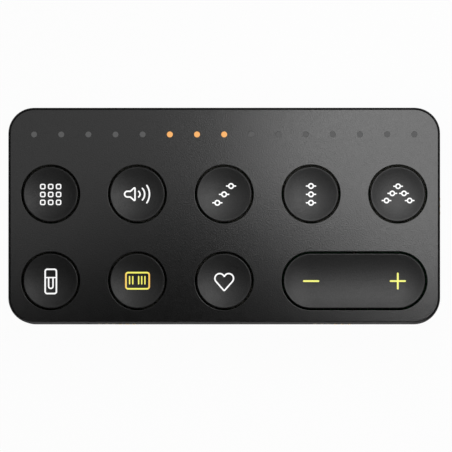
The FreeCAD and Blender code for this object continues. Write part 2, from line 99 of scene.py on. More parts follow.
# Indicator row
INDICATOR_COUNT = 15
INDICATOR_LIT = (5, 6, 7)
INDICATOR_SPAN = 82.8
INDICATOR_PITCH = INDICATOR_SPAN / (INDICATOR_COUNT - 1)
INDICATOR_FIRST = -INDICATOR_SPAN / 2
INDICATOR_Y = 17.7
PIP_RADIUS = 0.64
BAR_BOTTOM = 15.4

# Board and the screws that hold it
BOARD_TOP = 13.8
BOARD_BOTTOM = 12.2
SCREW_HEAD = 1.9


def node_box(name):
    """Lowest and highest corner of a CAD node, in millimetres."""
    low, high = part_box(name)
    return Vector(low) / MM, Vector(high) / MM


def node_middle(name):
    """Middle of a CAD node in plan, in millimetres."""
    low, high = node_box(name)
    return (low.x + high.x) / 2, (low.y + high.y) / 2


ROUND_KEYS = (
    "grid", "speaker", "rising_notes", "stacked_notes", "peaked_notes", "pedal", "keyboard", "heart")
KEY_PLACE = {key: node_middle("key_" + key) for key in ROUND_KEYS}
ROCKER_PLACE = {end: node_middle("dome_" + end) for end in ("minus", "plus")}
ROCKER_X, ROCKER_Y = node_middle("key_rocker")
ROCKER_LEFT = ROCKER_PLACE["minus"][0]
ROCKER_RIGHT = ROCKER_PLACE["plus"][0]
DOCKS = ("front_left", "front_right", "right", "back_right", "back_left", "left")


def body_of(key):
    """Body that a round button, or an end of the rocker, belongs to."""
    return "rocker_button" if key in ROCKER_PLACE else key + "_button"


def circle(radius, sides):
    """Corners of a polygon about nought, counter-clockwise."""
    angles = [2 * pi * n / sides for n in range(sides)]
    return [(radius * cos(angle), radius * sin(angle)) for angle in angles]


# Outlines in plan. Each gives its points, counter-clockwise, moved out by grow.

def round_outline(x, y, radius, sides=96):
    def points(grow=0.0):
        return [(x + px, y + py) for px, py in circle(radius + grow, sides)]
    return points


def box_outline(x, y, length, depth, corner, arc, tightest=0.06):
    def points(grow=0.0):
        reach = max(corner + grow, tightest)
        half_x = length / 2 + grow - reach
        half_y = depth / 2 + grow - reach
        found = []
        for quarter, (side_x, side_y) in enumerate(((1, 1), (-1, 1), (-1, -1), (1, -1))):
            for step in range(arc + 1):
                angle = (quarter + step / arc) * pi / 2
                px = x + side_x * half_x + reach * cos(angle)
                py = y + side_y * half_y + reach * sin(angle)
                found.append((px, py))
        return found
    return points


def slot_outline(left, right, y, radius):
    arc = 48

    def points(grow=0.0):
        reach = radius + grow
        found = []
        for middle, start in ((right, -pi / 2), (left, pi / 2)):
            for step in range(arc + 1):
                angle = start + pi * step / arc
                found.append((middle + reach * cos(angle), y + reach * sin(angle)))
        return found
    return points


def rounded_edge(reach, top, radius, start, steps):
    """Profile points over a rounded edge, from start degrees down to its outer face at reach."""
    angles = [radians(start - start * step / steps) for step in range(steps + 1)]
    return [(reach - radius + radius * cos(a), top - radius + radius * sin(a)) for a in angles]


class Shape:
    """A mesh being built, in millimetres."""

    def __init__(self, node=None):
        self.bm = bmesh.new()
        if node:
            self.bm.from_mesh(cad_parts[node].data)
            self.bm.transform(Matrix.Scale(1 / MM, 4))
            bmesh.ops.remove_doubles(self.bm, verts=self.bm.verts, dist=0.001)

    def ring(self, points, z):
        return [self.bm.verts.new((x, y, z)) for x, y in points]

    def wall(self, first, second):
        count = len(first)
        for n in range(count):
            after = (n + 1) % count
            self.bm.faces.new((first[n], first[after], second[after], second[n]))

    def lid(self, ring):
        self.bm.faces.new(ring)

    def skin(self, rings, lids=True, hoop=False):
        """Walls from each ring to the next, closed by two lids or by a wall back to the first ring."""
        for first, second in zip(rings, rings[1:]):
            self.wall(first, second)
        if hoop:
            self.wall(rings[-1], rings[0])
        elif lids:
            self.lid(rings[0])
            self.lid(rings[-1])
        return rings

    def rings(self, outline, profile):
        """The outline drawn at each (grow, z) of the profile."""
        return [self.ring(outline(grow), z) for grow, z in profile]

    def stack(self, outline, profile):
        """Skin over the rings of a profile, with open ends."""
        return self.skin(self.rings(outline, profile), lids=False)

    def close(self, walls, recess):
        """Closes a body that has a recess in its far face."""
        self.lid(walls[0])
        self.fill(walls[-1], recess[0])
        self.lid(recess[-1])

    def fill(self, *rings):
        """Flat face between an outer ring and the rings of its holes."""
        edges = []
        for ring in rings:
            for n, vert in enumerate(ring):
                after = ring[(n + 1) % len(ring)]
                edges.append(self.bm.edges.get((vert, after)) or self.bm.edges.new((vert, after)))
        bmesh.ops.triangle_fill(self.bm, edges=edges, use_beauty=True)

    def zip(self, first, second):
        """Band of triangles between two rings that have different numbers of points."""
        middle = sum((v.co.xy for v in second), Vector((0, 0))) / len(second)

        def by_angle(ring):
            turned = [(atan2(v.co.y - middle.y, v.co.x - middle.x), v) for v in ring]
            return sorted(turned, key=lambda pair: pair[0])

        one = by_angle(first)
        two = by_angle(second)
        i = j = 0
        while i < len(one) or j < len(two):
            next_one = one[(i + 1) % len(one)][0] + 2 * pi * ((i + 1) // len(one))
            next_two = two[(j + 1) % len(two)][0] + 2 * pi * ((j + 1) // len(two))
            a = one[i % len(one)][1]
            b = two[j % len(two)][1]
            if j >= len(two) or (i < len(one) and next_one <= next_two):
                self.bm.faces.new((a, one[(i + 1) % len(one)][1], b))
                i += 1
            else:
                self.bm.faces.new((a, two[(j + 1) % len(two)][1], b))
                j += 1

    def open_loops(self):
        """Rings of vertices round the holes of the skin."""
        nexts = {}
        for edge in self.bm.edges:
            if len(edge.link_faces) == 1:
                for vert in edge.verts:
                    nexts.setdefault(vert, []).append(edge.other_vert(vert))
        loops = []
        seen = set()
        for start in nexts:
            if start in seen:
                continue
            loop = [start]
            seen.add(start)
            ahead = next((v for v in nexts[start] if v not in seen), None)
            while ahead:
                loop.append(ahead)
                seen.add(ahead)
                ahead = next((v for v in nexts[ahead] if v not in seen), None)
            loops.append(loop)
        return loops

    def drop(self, test):
        """Takes out the faces for which test(face) holds."""
        bmesh.ops.delete(self.bm, geom=[f for f in self.bm.faces if test(f)], context="FACES")

    def bevel(self, test, width, steps=2):
        edges = [e for e in self.bm.edges if test(e)]
        bmesh.ops.bevel(self.bm, geom=edges, offset=width, segments=steps, profile=0.5, affect="EDGES",
                        clamp_overlap=True)

    def sweep(self, path, width, closed=False):
        """Flat line of a sign along a path, with round ends where it is open."""
        spots = [Vector(p) for p in path]
        count = len(spots)
        stations = []
        for n, spot in enumerate(spots):
            before = spots[n - 1] if n or closed else spot
            after = spots[(n + 1) % count] if n < count - 1 or closed else spot
            along = (after - before).normalized()
            stations.append((spot, along, width / 2))
        if not closed:
            start = self.round_end(stations[0], -1)[::-1]
            stations = start + stations[1:-1] + self.round_end(stations[-1], 1)
        rings = []
        for spot, along, half in stations:
            side = Vector((-along.y, along.x)) * half
            one = spot + side
            two = spot - side
            corners = ((one, SIGN_PROUD), (two, SIGN_PROUD), (two, -SIGN_DEPTH), (one, -SIGN_DEPTH))
            rings.append([self.bm.verts.new((p.x, p.y, z)) for p, z in corners])
        self.skin(rings, hoop=closed)

    @staticmethod
    def round_end(station, way):
        """Stations over the rounded end of a line, which draws in to a narrow tip."""
        spot, along, half = station
        found = [station]
        steps = 5
        tip_angle = 84
        for step in range(1, steps + 1):
            angle = radians(tip_angle * step / steps)
            found.append((spot + along * way * half * sin(angle), along, half * cos(angle)))
        return found

    def mesh(self, name, level=None):
        """Finished mesh in metres, smooth but for its sharp edges and those round a flat level."""
        crease = 32
        bmesh.ops.remove_doubles(self.bm, verts=self.bm.verts, dist=0.0005)
        bmesh.ops.dissolve_degenerate(self.bm, dist=0.0002, edges=self.bm.edges)
        bmesh.ops.recalc_face_normals(self.bm, faces=self.bm.faces)
        for face in self.bm.faces:
            face.smooth = True
        for edge in self.bm.edges:
            edge.smooth = len(edge.link_faces) == 2 and degrees(edge.calc_face_angle(0)) < crease
            if level:
                flat = [all(abs(v.co.z - level) < 0.0002 for v in f.verts) for f in edge.link_faces]
                if any(flat) and not all(flat):
                    edge.smooth = False
        self.bm.transform(Matrix.Scale(MM, 4))
        mesh = bpy.data.meshes.new(name)
        self.bm.to_mesh(mesh)
        self.bm.free()
        return mesh


def solid(name, outline, profile, hoop=False):
    """Mesh of a closed body: the rings of a profile between two lids, or a hoop with that section."""
    shape = Shape()
    shape.skin(shape.rings(outline, profile), hoop=hoop)
    return shape.mesh(name)


def place(name, mesh, material, body, slot, replaces=()):
    """Object for a finished mesh, with flat faces shaded flat up to their rounded edges."""
    piece = bpy.data.objects.new(name, mesh)
    bpy.context.scene.collection.objects.link(piece)
    if material and not mesh.materials:
        mesh.materials.append(material)
    flat = piece.modifiers.new("flat faces", "WEIGHTED_NORMAL")
    flat.keep_sharp = True
    flat.weight = 80
    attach(piece, body)
    for node in replaces:
        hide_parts(node)
    return piece


# Finishes

def add_node(tree, kind, operation=None, **inputs):
    """New node, with each named input set to a value or linked to an output."""
    made = tree.nodes.new(kind)
    if operation:
        made.operation = operation
    for label, value in inputs.items():
        socket = made.inputs[label.replace("_", " ")]
        if isinstance(value, bpy.types.NodeSocket):
            tree.links.new(value, socket)
        else:
            socket.default_value = value
    return made


class Finish:
    """Principled material whose even values sit on the shader's own sockets."""

    def __init__(self, name, colour, roughness, **values):
        self.material = bpy.data.materials.new(name)
        self.material.use_nodes = True
        self.tree = self.material.node_tree
        self.shader = self.tree.nodes["Principled BSDF"]
        self.shader.inputs["Base Color"].default_value = (*colour, 1)
        self.shader.inputs["Roughness"].default_value = roughness
        self.material.diffuse_color = (*colour, 1)
        for label, value in values.items():
            self.shader.inputs[label.replace("_", " ")].default_value = value
        self.coordinates = self.node("ShaderNodeTexCoord")
        self.place = self.coordinates.outputs["Object"]
        self.relief = None

    def node(self, kind, operation=None, **inputs):
        return add_node(self.tree, kind, operation, **inputs)

    def pattern(self, given):
        """The pattern itself, or clouds of the size that is given in its place."""
        return given if isinstance(given, bpy.types.NodeSocket) else self.noise(given)

    def noise(self, size, detail=3.0):
        """Cloudy pattern whose features are size millimetres across."""
        scale = 1 / (size * MM)
        made = self.node("ShaderNodeTexNoise", Vector=self.place, Scale=scale, Detail=detail, Roughness=0.5)
        return made.outputs["Fac"]

    def spread(self, pattern, low, high, start=0.3, end=0.7):
        """The pattern stretched to run from low to high."""
        made = self.node(
            "ShaderNodeMapRange", Value=pattern, From_Min=start, From_Max=end, To_Min=low, To_Max=high)
        return made.outputs["Result"]

    def rough(self, pattern, low, high):
        spread = self.spread(self.pattern(pattern), low, high)
        self.tree.links.new(spread, self.shader.inputs["Roughness"])

    def tint(self, pattern, *colours, socket="Base Color"):
        ramp = self.node("ShaderNodeValToRGB", Fac=self.pattern(pattern))
        stops = ramp.color_ramp.elements
        while len(stops) < len(colours):
            stops.new(0.5)
        for stop, (position, colour) in zip(stops, colours):
            stop.position = position
            stop.color = (*colour, 1)
        self.tree.links.new(ramp.outputs["Color"], self.shader.inputs[socket])

    def bump(self, pattern, height):
        """Relief of the pattern, height millimetres from its lowest to its highest."""
        given = self.pattern(pattern)
        made = self.node("ShaderNodeBump", Height=given, Distance=height * MM, Strength=1.0)
        if self.relief:
            self.tree.links.new(self.relief, made.inputs["Normal"])
        self.relief = made.outputs["Normal"]
        self.tree.links.new(self.relief, self.shader.inputs["Normal"])


def satin_black(name, colour, low, high, specular, grain, relief, sides=0.0):
    """Moulded black plastic with a fine spark-eroded grain, coarser by sides on its upright walls."""
    finish = Finish(name, colour, (low + high) / 2, Specular_IOR_Level=specular)
    fine = finish.noise(grain, 2.0)
    matt = finish.spread(finish.noise(grain * 3, 2.0), low, high)
    if sides:
        facing = finish.node("ShaderNodeSeparateXYZ", Vector=finish.coordinates.outputs["Normal"])
        level = finish.node("ShaderNodeMath", "ABSOLUTE", Value=facing.outputs["Z"])
        added = finish.spread(level.outputs[0], sides, 0.0, 0.35, 0.75)
        coarser = finish.node("ShaderNodeMath", Value=added)
        finish.tree.links.new(matt, coarser.inputs[1])
        matt = coarser.outputs[0]
    finish.tree.links.new(matt, finish.shader.inputs["Roughness"])
    finish.tint(fine, (0.40, (0.0, 0.0, 0.0)), (0.60, tuple(2.0 * c for c in colour)))
    finish.bump(fine, relief)
    return finish.material


def glow(name, colour, strength):
    """Lit sign or light, a little brighter in the middle of each cloud of its pattern."""
    finish = Finish(name, tuple(0.12 * c for c in colour), 0.5, Emission_Strength=strength)
    faint = tuple(0.96 * c for c in colour)
    finish.tint(0.8, (0.3, faint), (0.7, colour), socket="Emission Color")
    return finish.material


CASE = satin_black("case_black", (0.0040, 0.0040, 0.0040), 0.28, 0.32, 0.75, 0.27, 0.030, sides=0.6)
CAP = satin_black("cap_black", (0.0030, 0.0030, 0.0030), 0.50, 0.54, 0.82, 0.27, 0.020)
# The hidden finish is rough and coarse like the inside of a mould, and its base is lighter and olive: painted
# light that lifts the shade in the gaps round the caps and under the plate.
HIDDEN = satin_black("hidden_black_painted_light", (0.050, 0.050, 0.042), 0.85, 0.95, 0.25, 0.25, 0.003)
INSERT = satin_black("insert_black", (0.004, 0.004, 0.0042), 0.38, 0.48, 0.5, 0.15, 0.003)
MASK = satin_black("mask_black", (0.006, 0.006, 0.006), 0.55, 0.65, 0.4, 0.15, 0.003)
SIGN_WHITE = glow("sign_white", (1.0, 1.0, 1.0), 0.98)
SIGN_YELLOW = glow("sign_yellow", (0.96, 0.96, 0.22), 0.95)
LIT_PIP = glow("lit_pip", (1.0, 0.47, 0.14), 0.90)

# Unlit pips glow an even faint grey although their lights are off: painted glow. Their base tone varies at
# random.
UNLIT = Finish("unlit_pip_painted_glow", (0.03, 0.03, 0.03), 0.6, Specular_IOR_Level=0.04, Emission_Strength=1.0,
               Emission_Color=(0.092, 0.092, 0.092, 1))
UNLIT.tint(0.5, (0.3, (0.026, 0.026, 0.027)), (0.7, (0.034, 0.034, 0.034)))
UNLIT_PIP = UNLIT.material

BAR = Finish("clear_bar", (0.80, 0.82, 0.84), 0.12, Transmission_Weight=0.85, IOR=1.49)
BAR.rough(0.6, 0.08, 0.18)
CLEAR_BAR = BAR.material

KEYBOARD_LINE = Finish("keyboard_line", (0.11, 0.11, 0.02), 0.5, Emission_Strength=0.95)


def keyboard_tint(finish, middle):
    """Yellow that turns to orange at the left and right ends of the sign."""
    half_sign = 2.9
    split = finish.node("ShaderNodeSeparateXYZ", Vector=finish.place)
    offset = finish.node("ShaderNodeMath", "SUBTRACT", Value=split.outputs["X"])
    offset.inputs[1].default_value = middle * MM
    reach = finish.node("ShaderNodeMath", "ABSOLUTE", Value=offset.outputs[0])
    scaled = finish.spread(reach.outputs[0], 0.0, 1.0, 0.0, half_sign * MM)
    yellow = (0.0, (0.96, 0.96, 0.16))
    warm = (0.76, (0.98, 0.90, 0.14))
    orange = (0.93, (1.0, 0.50, 0.12))
    finish.tint(scaled, yellow, warm, orange, socket="Emission Color")
    return finish.material


SIGN_KEYBOARD = keyboard_tint(KEYBOARD_LINE, KEY_PLACE["keyboard"][0])

RUBBER = Finish("pad_rubber", (0.020, 0.020, 0.021), 0.75, Specular_IOR_Level=0.35)
RUBBER.tint(6.0, (0.35, (0.016, 0.016, 0.017)), (0.65, (0.026, 0.026, 0.026)))
RUBBER.rough(1.5, 0.66, 0.82)
RUBBER.bump(0.5, 0.012)

SILICONE = Finish("dome_silicone", (0.62, 0.63, 0.62), 0.42, Specular_IOR_Level=0.4,
                  Subsurface_Weight=0.35, Subsurface_Radius=(0.002, 0.002, 0.0018))
SILICONE.tint(2.0, (0.3, (0.56, 0.57, 0.56)), (0.7, (0.66, 0.67, 0.66)))
SILICONE.rough(0.7, 0.36, 0.48)
SILICONE.bump(0.15, 0.004)

MILKY = Finish("milky_plastic", (0.86, 0.86, 0.84), 0.38, Subsurface_Weight=0.5,
               Subsurface_Radius=(0.003, 0.003, 0.003))
MILKY.tint(1.6, (0.3, (0.82, 0.82, 0.80)), (0.7, (0.90, 0.90, 0.88)))
MILKY.rough(0.3, 0.32, 0.44)

EPOXY = Finish("chip_epoxy", (0.018, 0.018, 0.019), 0.5, Specular_IOR_Level=0.45)
EPOXY.tint(0.25, (0.35, (0.013, 0.013, 0.014)), (0.65, (0.026, 0.026, 0.026)))
EPOXY.rough(0.2, 0.42, 0.60)
EPOXY.bump(0.08, 0.006)

CAN = Finish("crystal_can", (0.72, 0.71, 0.68), 0.28, Metallic=1.0)
CAN.rough(0.3, 0.22, 0.36)
CAN.bump(0.15, 0.002)

PACKAGE = Finish("led_package", (0.82, 0.80, 0.70), 0.35, Specular_IOR_Level=0.5)
PACKAGE.tint(0.5, (0.3, (0.78, 0.74, 0.58)), (0.7, (0.88, 0.87, 0.80)))
PACKAGE.rough(0.3, 0.28, 0.42)

STEEL = Finish("screw_steel", (0.46, 0.45, 0.44), 0.32, Metallic=1.0)
STEEL.tint(0.5, (0.3, (0.40, 0.39, 0.38)), (0.7, (0.53, 0.52, 0.50)))
STEEL.rough(0.25, 0.24, 0.42)
STEEL.bump(0.1, 0.003)

NICKEL = Finish("magnet_nickel", (0.44, 0.43, 0.41), 0.34, Metallic=1.0)
NICKEL.tint(1.6, (0.3, (0.40, 0.39, 0.37)), (0.7, (0.48, 0.47, 0.45)))
NICKEL.rough(1.2, 0.30, 0.38)
NICKEL.bump(0.6, 0.001)

GOLD = Finish("contact_gold", (0.83, 0.62, 0.28), 0.25, Metallic=1.0)
GOLD.tint(0.6, (0.3, (0.78, 0.56, 0.23)), (0.7, (0.87, 0.67, 0.33)))
GOLD.rough(0.3, 0.18, 0.36)
GOLD.bump(0.15, 0.002)

LAMINATE = Finish("board_laminate", (0.010, 0.045, 0.022), 0.7, Specular_IOR_Level=0.35)


def board_tracks(finish):
    """Solder mask over copper tracks: lighter, slightly raised lines on a grid."""
    track_pitch = 3.2
    made = finish.node(
        "ShaderNodeTexBrick", Vector=finish.place, Scale=1 / (track_pitch * MM), Mortar_Size=0.03,
        Color1=(0, 0, 0, 1), Color2=(0.1, 0.1, 0.1, 1), Mortar=(1, 1, 1, 1))
    lines = finish.node("ShaderNodeRGBToBW", Color=made.outputs["Color"]).outputs[0]
    finish.tint(lines, (0.1, (0.006, 0.040, 0.018)), (0.9, (0.030, 0.110, 0.045)))
    finish.rough(1.0, 0.66, 0.76)
    finish.bump(lines, 0.03)


board_tracks(LAMINATE)


# Geometry nodes: one piece repeated in columns and rows

def rows_tree():
    """Tree that repeats the mesh it gets at each place of a grid, and gives it one material."""
    tree = bpy.data.node_groups.new("rows", "GeometryNodeTree")
    sockets = (("Geometry", "Geometry"), ("Columns", "Int"), ("Rows", "Int"), ("Column pitch", "Float"),
               ("Row pitch", "Float"), ("First place", "Vector"), ("Finish", "Material"))
    for label, kind in sockets:
        tree.interface.new_socket(label, in_out="INPUT", socket_type="NodeSocket" + kind)
    tree.interface.new_socket("Geometry", in_out="OUTPUT", socket_type="NodeSocketGeometry")
    given = add_node(tree, "NodeGroupInput").outputs
    step_x = add_node(tree, "ShaderNodeCombineXYZ", X=given["Column pitch"])
    step_y = add_node(tree, "ShaderNodeCombineXYZ", Y=given["Row pitch"])
    column = add_node(tree, "GeometryNodeMeshLine", Count=given["Columns"], Offset=step_x.outputs[0])
    row = add_node(tree, "GeometryNodeMeshLine", Count=given["Rows"], Start_Location=given["First place"],
                   Offset=step_y.outputs[0])
    spots = add_node(tree, "GeometryNodeInstanceOnPoints", Points=row.outputs[0], Instance=column.outputs[0])
    grid = add_node(tree, "GeometryNodeRealizeInstances", Geometry=spots.outputs[0])
    copies = add_node(
        tree, "GeometryNodeInstanceOnPoints", Points=grid.outputs[0], Instance=given["Geometry"])
    real = add_node(tree, "GeometryNodeRealizeInstances", Geometry=copies.outputs[0])
    finish = add_node(tree, "GeometryNodeSetMaterial", Geometry=real.outputs[0], Material=given["Finish"])
    add_node(tree, "NodeGroupOutput", Geometry=finish.outputs[0])
    return tree


ROWS = rows_tree()


def repeated(mesh, first, columns, pitch, material, rows=1, row_pitch=0.0):
    """Plain mesh of the given one repeated from the first place on, made by the rows tree."""
    carrier = bpy.data.objects.new("carrier", mesh)
    bpy.context.scene.collection.objects.link(carrier)
    modifier = carrier.modifiers.new("rows", "NODES")
    modifier.node_group = ROWS
    values = {
        "Columns": columns,
        "Rows": rows,
        "Column pitch": pitch * MM,
        "Row pitch": row_pitch * MM,
        "First place": [c * MM for c in first],
        "Finish": material,
    }
    for socket in ROWS.interface.items_tree:
        if socket.in_out == "INPUT" and socket.name in values:
            modifier[socket.identifier] = values[socket.name]
    evaluated = carrier.evaluated_get(bpy.context.evaluated_depsgraph_get())
    result = bpy.data.meshes.new_from_object(evaluated)
    bpy.data.objects.remove(carrier)
    result.materials.clear()
    result.materials.append(material)
    for face in result.polygons:
        face.material_index = 0
    return result


def joined(name, meshes):
    """One mesh of several, each with its own material."""
    result = bpy.data.meshes.new(name)
    bm = bmesh.new()
    for n, mesh in enumerate(meshes):
        start = len(bm.faces)
        bm.from_mesh(mesh)
        bm.faces.ensure_lookup_table()
        for face in bm.faces[start:]:
            face.material_index = n
        result.materials.append(mesh.materials[0])
    bm.to_mesh(result)
    bm.free()
    return result


def cut(mesh, cutter, way="DIFFERENCE"):
    """Mesh with another taken from it or added to it."""
    body = bpy.data.objects.new("body", mesh)
    tool = bpy.data.objects.new("tool", cutter)
    for thing in (body, tool):
        bpy.context.scene.collection.objects.link(thing)
    modifier = body.modifiers.new("cut", "BOOLEAN")
    modifier.operation = way
    modifier.solver = "EXACT"
    modifier.object = tool
    result = bpy.data.meshes.new_from_object(body.evaluated_get(bpy.context.evaluated_depsgraph_get()))
    for thing in (body, tool):
        bpy.data.objects.remove(thing)
    return result


def smoothed(mesh, name):
    """A Boolean's result, cleaned and shaded again."""
    shape = Shape()
    shape.bm.from_mesh(mesh)
    shape.bm.transform(Matrix.Scale(1 / MM, 4))
    return shape.mesh(name)


def two_finishes(mesh, outer, hidden):
    """Satin finish on the show faces, and the mould's coarse one where hidden(face) holds, whose lighter
    olive base is painted light that lifts the shade in the gaps.
    """
    mesh.materials.append(outer)
    mesh.materials.append(HIDDEN)
    for face in mesh.polygons:
        if hidden(face):
            face.material_index = 1
    return mesh


# Casing

def depth_inside(point):
    """How far a point lies inside the casing's outline."""
    x = abs(point.x) - (HALF_LENGTH - CORNER_RADIUS)
    y = abs(point.y) - (HALF_DEPTH - CORNER_RADIUS)
    return CORNER_RADIUS - (hypot(x, y) if x > 0 and y > 0 else max(x, y))


def lies_on_outline(vert, inset=0.0):
    """Whether a point stands on the casing's outer face, or on that face moved in by inset."""
    return abs(depth_inside(vert.co) - inset) < 0.02


def inset_corner(vert, inset):
    """A corner point of the casing's outline, moved in by inset."""
    middle_x = HALF_LENGTH - CORNER_RADIUS
    middle_y = HALF_DEPTH - CORNER_RADIUS
    scale = 1 - inset / CORNER_RADIUS
    x = middle_x + (abs(vert.co.x) - middle_x) * scale
    y = middle_y + (abs(vert.co.y) - middle_y) * scale
    return copysign(x, vert.co.x), copysign(y, vert.co.y)


def at_seam(edge):
    """Whether an edge lies on the outer face where the two mouldings meet."""
    return (len(edge.link_faces) == 2 and edge.calc_face_angle(0) > radians(60)
            and all(abs(v.co.z - SEAM) < 0.01 and lies_on_outline(v) for v in edge.verts))


def rim_profile(rim, top):
    """Profile of a hole's rounded rim, from its wall out to the top face."""
    steps = 5
    angles = [radians(90 * step / steps) for step in range(steps + 1)]
    return [(rim * (1 - cos(angle)), top - rim + rim * sin(angle)) for angle in angles]


def top_cover():
    """The upper moulding: its inside as packed, under a fine top with an eased edge and rounded rims."""
    shape = Shape("top_cover")
    near = 0.001
    low = PLATE_UNDERSIDE - near
    high = PLATE_UNDERSIDE + near
    shape.drop(lambda f: min(v.co.z for v in f.verts) > low and max(v.co.z for v in f.verts) > high)
    loops = shape.open_loops()
    outer = next(loop for loop in loops if loop[0].co.z > EDGE_START - 0.1)
    holes = [loop for loop in loops if loop is not outer]
    below = outer
    for vert in outer:
        vert.co.z = TOP - TOP_EDGE[0][1]
    for inset, drop in TOP_EDGE[1:]:
        ring = shape.ring([inset_corner(v, inset) for v in outer], TOP - drop)
        shape.wall(below, ring)
        below = ring
    rims = [below]
    for loop in holes:
        middle = sum((v.co.xy for v in loop), Vector((0, 0))) / len(loop)
        reach = max((v.co.xy - middle).length for v in loop)
        rim = HOLE_ROUND
        start = PLATE_UNDERSIDE + 0.03
        if reach > 2 * HOLE_RADIUS:
            outline = slot_outline(ROCKER_LEFT, ROCKER_RIGHT, ROCKER_Y, HOLE_RADIUS)
        elif reach > 2 * LIGHT_HOLE_RADIUS:
            key = min(KEY_PLACE.values(), key=lambda place: (Vector(place) - middle).length)
            outline = round_outline(*key, HOLE_RADIUS)
        else:
            outline = round_outline(middle.x, middle.y, LIGHT_HOLE_RADIUS, 32)
            rim = LIGHT_HOLE_ROUND
            start = PLATE_UNDERSIDE + 0.3
        rings = shape.stack(outline, [(0.0, start)] + rim_profile(rim, TOP))
        shape.zip(loop, rings[0])
        rims.append(rings[-1])
    shape.fill(*rims)
    shape.bevel(at_seam, SEAM_BEVEL)
    return shape.mesh("top_cover_moulding", level=TOP)


def inside_cover(face):
    """Whether a face of the cover is out of sight: under the plate, or the wall of a hole."""
    middle = face.center / MM
    return middle.z < TOP - 0.5 and depth_inside(middle) > 0.4


cover = two_finishes(top_cover(), CASE, inside_cover)
place("cover_moulding", cover, None, "case", "case_plastic", ["top_cover"])


def tray():
    """The lower moulding, with its chamfer's edges eased."""
    shape = Shape("base_tray")

    def eased(edge):
        if len(edge.link_faces) != 2 or edge.calc_face_angle(0) < radians(20):
            return False
        level = {round(v.co.z, 2) for v in edge.verts}
        if level == {CHAMFER_TOP}:
            return all(lies_on_outline(v) for v in edge.verts)
        return level == {UNDERSIDE} and all(lies_on_outline(v, BASE_CHAMFER) for v in edge.verts)

    shape.bevel(eased, 0.25, 3)
    shape.bevel(at_seam, SEAM_BEVEL)
    return shape.mesh("base_tray_moulding")


place("tray_moulding", tray(), CASE, "case", "case_plastic", ["base_tray"])


# Caps

def dish_height(reach):
    """Height of the finger dish at a distance from its middle or its middle line."""
    rim = TOP - CAP_ROUND + CAP_ROUND * cos(DISH_START / DISH_RADIUS)
    return rim + sqrt(DISH_RADIUS**2 - DISH_START**2) - sqrt(DISH_RADIUS**2 - reach**2)


def cap_profile(bottom):
    """From the middle of the dish over the rounded rim and down the wall, as (grow, z)."""
    innermost = 0.05
    steps = 12
    reaches = [innermost] + [DISH_START * n / steps for n in range(1, steps)]
    profile = [(reach - CAP_RADIUS, dish_height(reach)) for reach in reaches]
    lean = degrees(DISH_START / DISH_RADIUS)
    rim = rounded_edge(CAP_RADIUS, TOP, CAP_ROUND, 90 + lean, 7)
    return profile + [(reach - CAP_RADIUS, z) for reach, z in rim] + [(0.0, bottom)]


def pocket(shape, x, y):
    """Walls of the seat for a diffuser, up from the underside of a cap."""
    outline = box_outline(x, y, POCKET_SIDE, POCKET_SIDE, 0.15, 3)
    return shape.stack(outline, [(0.0, CAP_BOTTOM), (0.0, POCKET_TOP)])


def round_cap(key):
    """Round cap: dish, rounded rim, wall, and the flange that catches under the plate."""
    x, y = KEY_PLACE[key]
    shape = Shape()
    rings = shape.stack(round_outline(x, y, CAP_RADIUS), cap_profile(CAP_FLANGE_TOP))
    shape.lid(rings[0])
    half = FLANGE_SIDE / 2
    flat = half - FLANGE_CORNER
    plan = [(half, flat), (flat, half), (-flat, half), (-half, flat),
            (-half, -flat), (-flat, -half), (flat, -half), (half, -flat)]

    def flange(grow):
        scale = 1 + grow / half
        return [(x + px * scale, y + py * scale) for px, py in plan]

    profile = [(-MOULD_EASE, CAP_FLANGE_TOP), (0, CAP_FLANGE_TOP - MOULD_EASE),
               (0, CAP_BOTTOM + MOULD_EASE), (-MOULD_EASE, CAP_BOTTOM)]
    walls = shape.stack(flange, profile)
    shape.fill(walls[0], rings[-1])
    seat = pocket(shape, x, y)
    shape.fill(walls[-1], seat[0])
    shape.lid(seat[-1])
    return shape.mesh("cap_" + key)


def rocker_cap():
    """Long cap with a trough-shaped dish and a pivot pin on each side."""
    shape = Shape()
    outline = slot_outline(ROCKER_LEFT, ROCKER_RIGHT, ROCKER_Y, CAP_RADIUS)
    rings = shape.stack(outline, cap_profile(CAP_BOTTOM))
    shape.lid(rings[0])
    seats = [pocket(shape, x, y) for x, y in ROCKER_PLACE.values()]
    shape.fill(rings[-1], *[seat[0] for seat in seats])
    for seat in seats:
        shape.lid(seat[-1])
    body = shape.mesh("rocker_body")
    pin = Shape()
    tip = PIN_RADIUS - MOULD_EASE
    shoulder = PIN_REACH - MOULD_EASE
    rings = []
    for y, radius in ((-PIN_REACH, tip), (-shoulder, PIN_RADIUS), (shoulder, PIN_RADIUS), (PIN_REACH, tip)):
        points = [(ROCKER_X + px, ROCKER_Y + y, PIN_Z + pz) for px, pz in circle(radius, 32)]
        rings.append([pin.bm.verts.new(point) for point in points])
    pin.skin(rings)
    middle = box_outline(ROCKER_X, ROCKER_Y, 2.0, 10.6, 0.2, 2)
    pins = cut(pin.mesh("pins"), solid("core", middle, [(0, PIN_Z - 0.9), (0, PIN_Z + 0.9)]))
    return smoothed(cut(body, pins, "UNION"), "rocker_cap")


def skirt(face):
    """Whether a face of a cap lies down in its gap or under the casing."""
    z = face.center.z / MM
    return z < SKIRT_LEVEL or (abs(face.normal.z) < 0.3 and z < EDGE_START)


for key in (*ROUND_KEYS, "rocker"):
    cap = two_finishes(rocker_cap() if key == "rocker" else round_cap(key), CAP, skirt)
    place("cap_" + key, cap, None, key + "_button", "button_plastic", ["key_" + key])


# Signs, drawn flat about the middle of their cap and then laid on its dish

def arc(x, y, radius, start, end, steps):
    """Points along part of a circle, between two angles in degrees."""
    angles = [radians(start + (end - start) * n / steps) for n in range(steps + 1)]
    return [(x + radius * cos(angle), y + radius * sin(angle)) for angle in angles]


